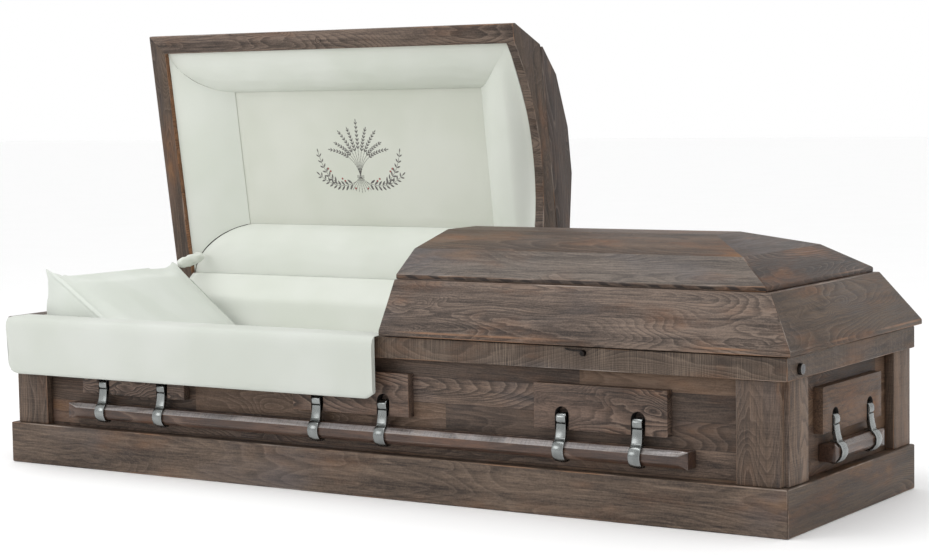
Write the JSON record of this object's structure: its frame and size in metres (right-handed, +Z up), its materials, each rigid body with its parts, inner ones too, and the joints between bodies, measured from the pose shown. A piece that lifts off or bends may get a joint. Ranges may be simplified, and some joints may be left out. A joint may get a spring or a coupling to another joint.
{
  "type": "half-couch wooden casket",
  "caption": "Rectangular stained-wood casket with a plinth, swing-bar handles and a hipped lid split across, its head half hinged open on a padded cloth interior.",
  "frame": {"origin": "centre of the flat underside of the bottom board", "axes": "+X along the casket to the foot end, +Y to the hinge side at the back, +Z up"},
  "size_m": [2.1614, 0.9047, 1.0765],
  "materials": {
    "stained_wood": "weathered grey-brown stain, satin, saw marks on the rails and posts",
    "bar_wood": "dark brown stain, semi-gloss",
    "pewter": "brushed antique pewter",
    "dark_bronze": "dark oil-rubbed bronze",
    "lining_cloth": "matt ivory crepe over padding"
  },
  "bodies": {
    "casket": {"bottom_board": "stained_wood", "side_panel_front": "stained_wood", "side_panel_back": "stained_wood", "end_panel_head": "stained_wood", "end_panel_foot": "stained_wood", "plinth_front": "stained_wood", "plinth_back": "stained_wood", "plinth_foot": "stained_wood", "plinth_head": "stained_wood", "top_rail_front": "stained_wood", "top_rail_back": "stained_wood", "top_rail_foot": "stained_wood", "top_rail_head": "stained_wood", "corner_post_front_head": "stained_wood", "corner_post_front_foot": "stained_wood", "corner_post_back_head": "stained_wood", "corner_post_back_foot": "stained_wood", "handle_block_front_1": "stained_wood", "handle_block_front_2": "stained_wood", "handle_block_front_3": "stained_wood", "handle_block_back_1": "stained_wood", "handle_block_back_2": "stained_wood", "handle_block_back_3": "stained_wood", "handle_block_foot": "stained_wood", "handle_block_head": "stained_wood", "lock_knob_front": "dark_bronze", "lock_knob_foot": "dark_bronze", "head_hinge": "dark_bronze", "foot_hinge": "dark_bronze", "body_lining": "lining_cloth", "mattress": "lining_cloth", "pillow": "lining_cloth", "apron": "lining_cloth"},
    "head_lid": {"head_lid_frame": "stained_wood", "head_lid_deck": "stained_wood", "head_lid_lining": "lining_cloth", "lid_stay_sleeve": "lining_cloth"},
    "foot_lid": {"foot_lid_frame": "stained_wood", "foot_lid_deck": "stained_wood", "foot_lid_lining": "lining_cloth"},
    "front_handle": {"handle_bar_front": "bar_wood", "handle_arm_front_1": "pewter", "handle_arm_front_2": "pewter", "handle_arm_front_3": "pewter", "handle_arm_front_4": "pewter", "handle_arm_front_5": "pewter", "handle_arm_front_6": "pewter"},
    "back_handle": {"handle_bar_back": "bar_wood", "handle_arm_back_1": "pewter", "handle_arm_back_2": "pewter", "handle_arm_back_3": "pewter", "handle_arm_back_4": "pewter", "handle_arm_back_5": "pewter", "handle_arm_back_6": "pewter"},
    "foot_handle": {"handle_bar_foot": "bar_wood", "handle_arm_foot_1": "pewter", "handle_arm_foot_2": "pewter"},
    "head_handle": {"handle_bar_head": "bar_wood", "handle_arm_head_1": "pewter", "handle_arm_head_2": "pewter"}
  },
  "joints": [
    {"name": "head_lid_hinge", "type": "hinge", "parent": "casket", "child": "head_lid", "pos_m": [0, 0.3575, 0.372], "axis": [-1, 0, 0], "range_deg": [-81.6, 0], "deforming": ["pillow"]},
    {"name": "foot_lid_hinge", "type": "hinge", "parent": "casket", "child": "foot_lid", "pos_m": [0, 0.3575, 0.372], "axis": [-1, 0, 0], "range_deg": [0, 81.6]},
    {"name": "front_handle_swing", "type": "hinge", "parent": "casket", "child": "front_handle", "pos_m": [0, -0.327, 0.2135], "axis": [-1, 0, 0], "range_deg": [0, 75]},
    {"name": "back_handle_swing", "type": "hinge", "parent": "casket", "child": "back_handle", "pos_m": [0, 0.327, 0.2135], "axis": [1, 0, 0], "range_deg": [0, 75]},
    {"name": "foot_handle_swing", "type": "hinge", "parent": "casket", "child": "foot_handle", "pos_m": [1.052, 0, 0.2135], "axis": [0, -1, 0], "range_deg": [0, 75]},
    {"name": "head_handle_swing", "type": "hinge", "parent": "casket", "child": "head_handle", "pos_m": [-1.052, 0, 0.2135], "axis": [0, 1, 0], "range_deg": [0, 75]}
  ]
}
